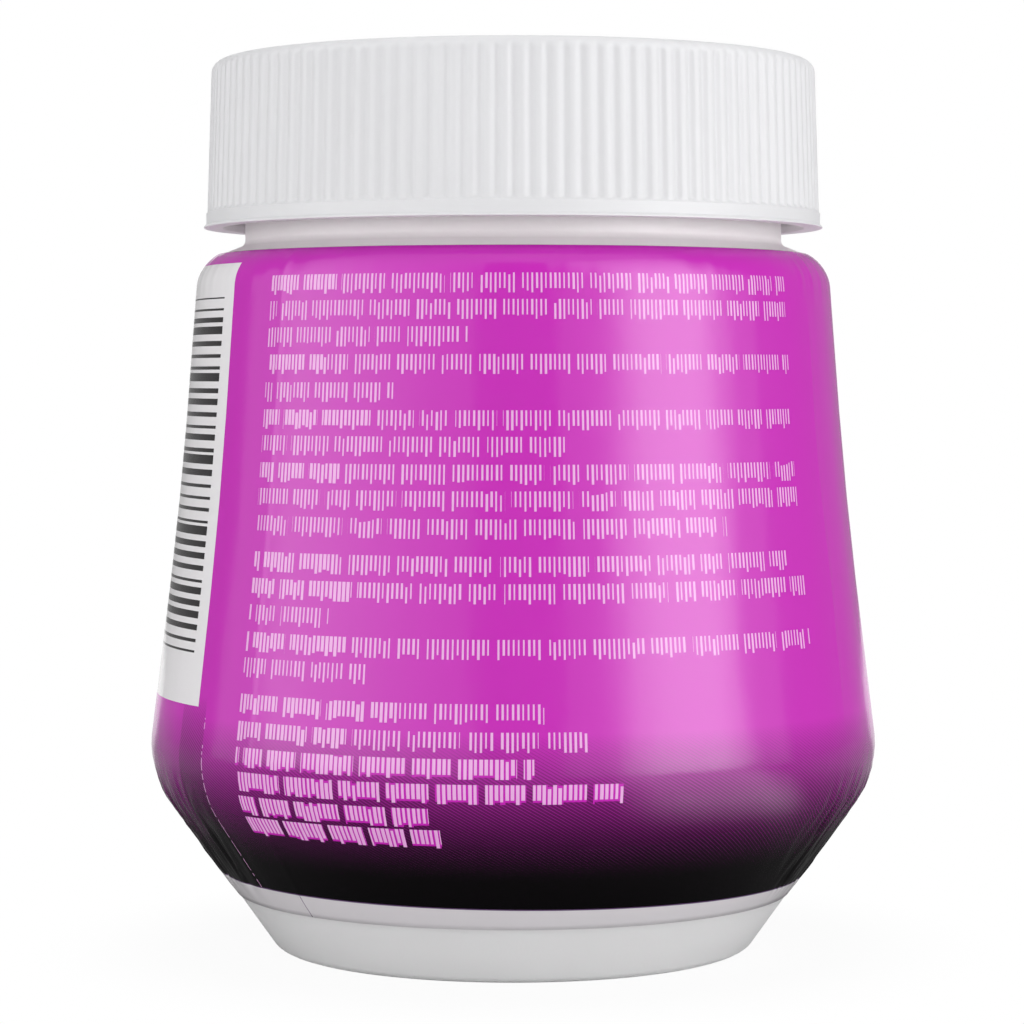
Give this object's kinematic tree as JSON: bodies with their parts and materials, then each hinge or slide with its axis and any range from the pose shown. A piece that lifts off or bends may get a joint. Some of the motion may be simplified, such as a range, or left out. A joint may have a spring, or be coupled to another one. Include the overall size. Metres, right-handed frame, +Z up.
{
  "type": "nail polish remover sponge jar",
  "caption": "Round tapered jar in a printed shrink sleeve, holding a foam block with a finger hole, closed by a finely ribbed screw cap with a loose sealing wad.",
  "frame": {"origin": "middle of the base, on the plane that the foot stands on", "axes": "+Z up the jar's axis towards the cap; the printed side that the picture shows faces -Y"},
  "size_m": [0.0602, 0.0602, 0.0733],
  "materials": {
    "jar": "moulded natural polyethylene, slightly see-through, satin",
    "sleeve": "glossy shrink film, printed magenta that turns to black near its foot",
    "foam": "open-cell polyurethane foam",
    "wad": "foamed polyethylene disc, matt",
    "cap": "moulded polypropylene, off-white, satin"
  },
  "bodies": {
    "jar_body": {"jar": "jar", "label_sleeve": "sleeve", "sponge": "foam"},
    "wad_body": {"cap_liner": "wad"},
    "cap_body": {"cap": "cap"}
  },
  "joints": [
    {"name": "cap_lift", "type": "slide", "parent": "jar_body", "child": "wad_body", "axis": [0, 0, 1], "range_m": [0, 0.0382]},
    {"name": "cap_turn", "type": "hinge", "parent": "wad_body", "child": "cap_body", "pos_m": [0, 0, 0.0651], "axis": [0, 0, 1], "range_deg": [0, 3240]}
  ],
  "couplings": [
    {"joint": "cap_lift", "follows": "cap_turn", "m_per_rad": 0.00067376}
  ]
}
